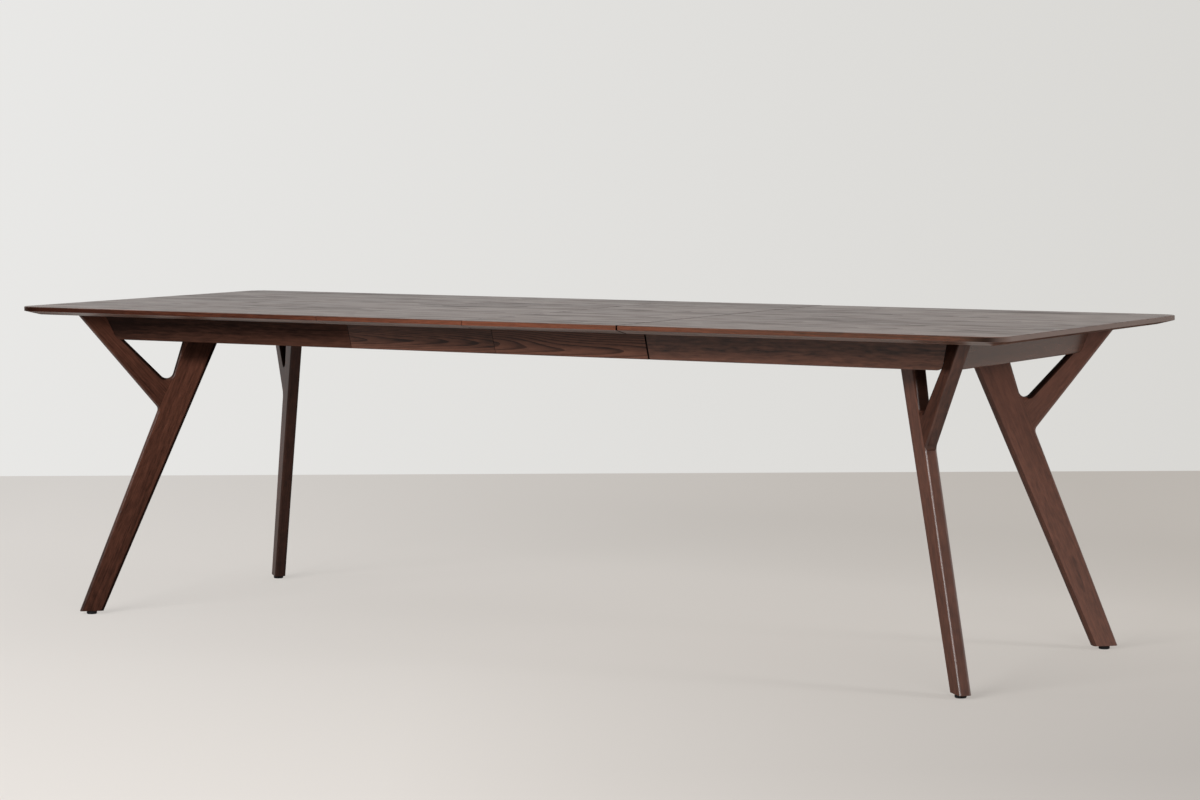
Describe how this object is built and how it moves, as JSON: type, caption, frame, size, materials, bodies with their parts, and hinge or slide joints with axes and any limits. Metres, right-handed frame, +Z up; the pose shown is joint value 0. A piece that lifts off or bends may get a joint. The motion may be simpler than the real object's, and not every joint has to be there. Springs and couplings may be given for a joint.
{
  "type": "extending dining table",
  "caption": "Long dining table drawn out on slides, with loose leaves between two halves, tilted aprons and Y-shaped splayed legs.",
  "frame": {"origin": "on the floor under the middle of the top", "axes": "+X along the length towards the half that draws out, +Y across the width, +Z up"},
  "size_m": [2.6024, 0.936, 0.75],
  "materials": {
    "walnut_top": "satin lacquer over dark walnut stain",
    "walnut_apron": "satin lacquer over dark walnut stain",
    "walnut_leg": "satin lacquer over dark walnut stain",
    "plain_wood": "planed beech, unstained",
    "slide_steel": "zinc-plated steel",
    "gear_nylon": "moulded nylon",
    "glide_plastic": "moulded black plastic"
  },
  "bodies": {
    "left_half": {"channel_left_back": "slide_steel", "channel_left_front": "slide_steel", "corner_block_left_back": "plain_wood", "corner_block_left_front": "plain_wood", "end_apron_left": "walnut_apron", "end_blocks_left": "plain_wood", "glide_left_back": "glide_plastic", "glide_left_front": "glide_plastic", "latch_plates_left": "slide_steel", "leg_bearer_left": "plain_wood", "leg_left_back": "walnut_leg", "leg_left_front": "walnut_leg", "long_apron_left_back": "walnut_apron", "long_apron_left_front": "walnut_apron", "rack_left": "slide_steel", "seam_batten_left": "plain_wood", "top_left": "walnut_top"},
    "right_half": {"channel_right_back": "slide_steel", "channel_right_front": "slide_steel", "corner_block_right_back": "plain_wood", "corner_block_right_front": "plain_wood", "end_apron_right": "walnut_apron", "end_blocks_right": "plain_wood", "glide_right_back": "glide_plastic", "glide_right_front": "glide_plastic", "latch_catches_right": "slide_steel", "leg_bearer_right": "plain_wood", "leg_right_back": "walnut_leg", "leg_right_front": "walnut_leg", "long_apron_right_back": "walnut_apron", "long_apron_right_front": "walnut_apron", "rack_right": "slide_steel", "seam_batten_right": "plain_wood", "top_right": "walnut_top"},
    "rails": {"pinion_axle": "slide_steel", "rail_back": "plain_wood", "rail_front": "plain_wood", "rail_plate": "plain_wood"},
    "pinion": {"pinion": "gear_nylon"},
    "leaf_1": {"latch_catches_leaf_1": "slide_steel", "latch_plates_leaf_1": "slide_steel", "leaf_1_cleats": "plain_wood", "leaf_1_panel": "walnut_top", "leaf_1_skirt_back": "walnut_apron", "leaf_1_skirt_front": "walnut_apron"},
    "leaf_2": {"latch_catches_leaf_2": "slide_steel", "latch_plates_leaf_2": "slide_steel", "leaf_2_cleats": "plain_wood", "leaf_2_panel": "walnut_top", "leaf_2_skirt_back": "walnut_apron", "leaf_2_skirt_front": "walnut_apron"},
    "hook_seam_1_back": {"latch_hook_seam_1_back": "slide_steel"},
    "hook_seam_1_front": {"latch_hook_seam_1_front": "slide_steel"},
    "hook_seam_2_back": {"latch_hook_seam_2_back": "slide_steel"},
    "hook_seam_2_front": {"latch_hook_seam_2_front": "slide_steel"},
    "hook_seam_3_back": {"latch_hook_seam_3_back": "slide_steel"},
    "hook_seam_3_front": {"latch_hook_seam_3_front": "slide_steel"}
  },
  "joints": [
    {"name": "right_half_slide", "type": "slide", "parent": "left_half", "child": "right_half", "axis": [1, 0, 0], "range_m": [0, 0.06]},
    {"name": "rails_slide", "type": "slide", "parent": "left_half", "child": "rails", "axis": [1, 0, 0], "range_m": [0, 0.03]},
    {"name": "pinion_turn", "type": "hinge", "parent": "rails", "child": "pinion", "pos_m": [0, 0, 0.6934], "axis": [0, 0, 1], "range_deg": [0, 57.3]},
    {"name": "leaf_1_lift", "type": "slide", "parent": "left_half", "child": "leaf_1", "axis": [0, 0, 1], "range_m": [0, 0.25]},
    {"name": "leaf_2_lift", "type": "slide", "parent": "left_half", "child": "leaf_2", "axis": [0, 0, 1], "range_m": [0, 0.25]},
    {"name": "hook_seam_1_back_turn", "type": "hinge", "parent": "left_half", "child": "hook_seam_1_back", "pos_m": [-0.4232, 0.12591, 0.725], "axis": [0, 0, 1], "range_deg": [0, 90]},
    {"name": "hook_seam_1_front_turn", "type": "hinge", "parent": "left_half", "child": "hook_seam_1_front", "pos_m": [-0.4232, -0.12591, 0.725], "axis": [0, 0, 1], "range_deg": [0, 90]},
    {"name": "hook_seam_2_back_turn", "type": "hinge", "parent": "leaf_1", "child": "hook_seam_2_back", "pos_m": [-0.024, 0.12591, 0.725], "axis": [0, 0, 1], "range_deg": [0, 90]},
    {"name": "hook_seam_2_front_turn", "type": "hinge", "parent": "leaf_1", "child": "hook_seam_2_front", "pos_m": [-0.024, -0.12591, 0.725], "axis": [0, 0, 1], "range_deg": [0, 90]},
    {"name": "hook_seam_3_back_turn", "type": "hinge", "parent": "leaf_2", "child": "hook_seam_3_back", "pos_m": [0.3752, 0.12591, 0.725], "axis": [0, 0, 1], "range_deg": [0, 90]},
    {"name": "hook_seam_3_front_turn", "type": "hinge", "parent": "leaf_2", "child": "hook_seam_3_front", "pos_m": [0.3752, -0.12591, 0.725], "axis": [0, 0, 1], "range_deg": [0, 90]}
  ],
  "couplings": [
    {"joint": "rails_slide", "follows": "right_half_slide", "ratio": 0.5},
    {"joint": "pinion_turn", "follows": "right_half_slide", "rad_per_m": 16.667}
  ]
}
